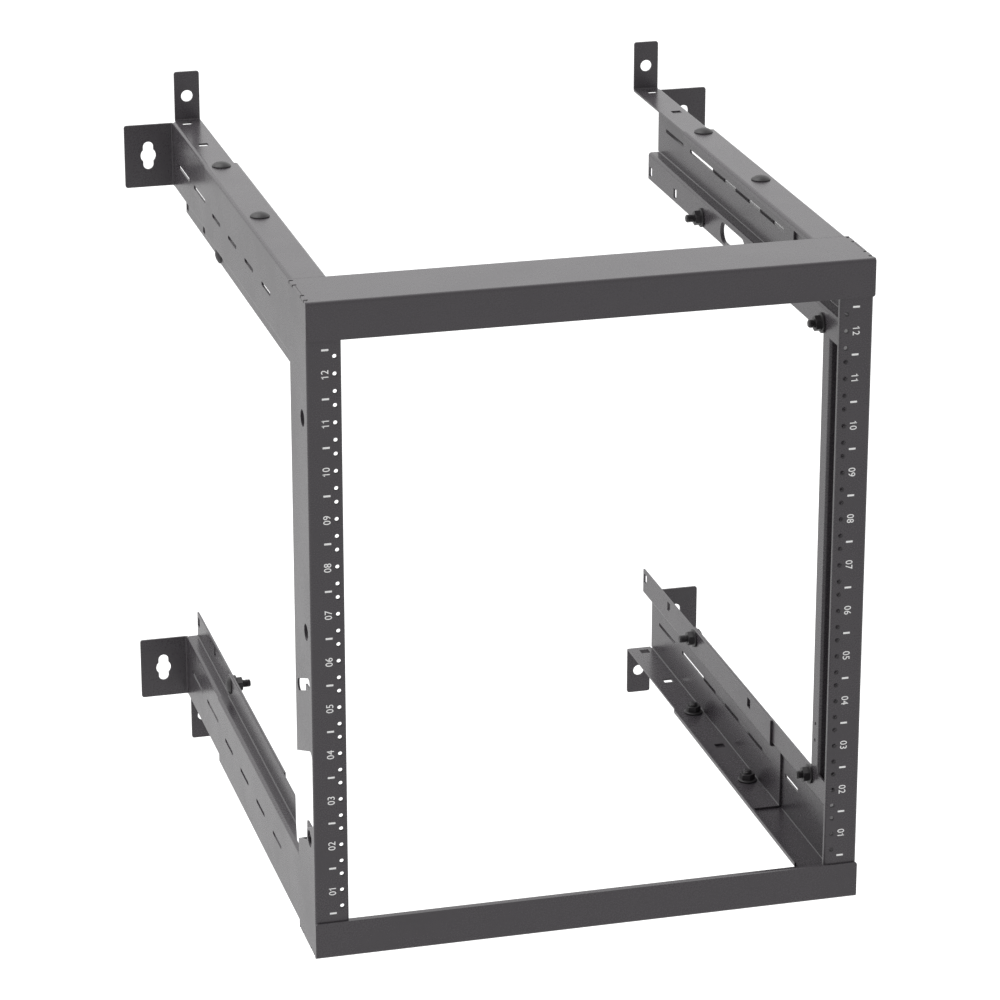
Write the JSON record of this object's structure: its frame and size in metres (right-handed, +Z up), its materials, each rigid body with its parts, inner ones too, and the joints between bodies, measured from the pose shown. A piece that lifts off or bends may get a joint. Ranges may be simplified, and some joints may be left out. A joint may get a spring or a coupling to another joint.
{
  "type": "wall mount rack",
  "caption": "Open frame equipment rack that hangs on a wall: two numbered mounting posts between hollow bars, held out by bolted two-part arms with wall tabs",
  "frame": {"origin": "on the wall face of the upper left wall arm's vertical tab, on the tab's centre line and 12.7 mm below its hole", "axes": "+Z up along the mounting posts, +Y into the wall, +X to the right of someone facing the rack from the room"},
  "size_m": [0.6034, 0.6363, 0.715],
  "materials": {
    "sheet": "dark grey powder coat on folded steel sheet, satin",
    "bolt": "black zinc plated steel, satin",
    "nut": "black zinc plated steel, satin",
    "marking": "white printed ink, matt"
  },
  "bodies": {
    "root": {"bottom_bar": "sheet", "left_post": "sheet", "lower_left_flange_bolts": "bolt", "lower_left_flange_nuts": "nut", "lower_left_front_arm": "sheet", "lower_left_lip_bolts": "bolt", "lower_left_lip_nuts": "nut", "lower_left_wall_arm": "sheet", "lower_right_flange_bolts": "bolt", "lower_right_flange_nuts": "nut", "lower_right_front_arm": "sheet", "lower_right_lip_bolts": "bolt", "lower_right_lip_nuts": "nut", "lower_right_wall_arm": "sheet", "right_post": "sheet", "top_bar": "sheet", "upper_left_flange_bolts": "bolt", "upper_left_flange_nuts": "nut", "upper_left_front_arm": "sheet", "upper_left_lip_bolts": "bolt", "upper_left_lip_nuts": "nut", "upper_left_wall_arm": "sheet", "upper_right_flange_bolts": "bolt", "upper_right_flange_nuts": "nut", "upper_right_front_arm": "sheet", "upper_right_lip_bolts": "bolt", "upper_right_lip_nuts": "nut", "upper_right_wall_arm": "sheet"}
  },
  "joints": []
}
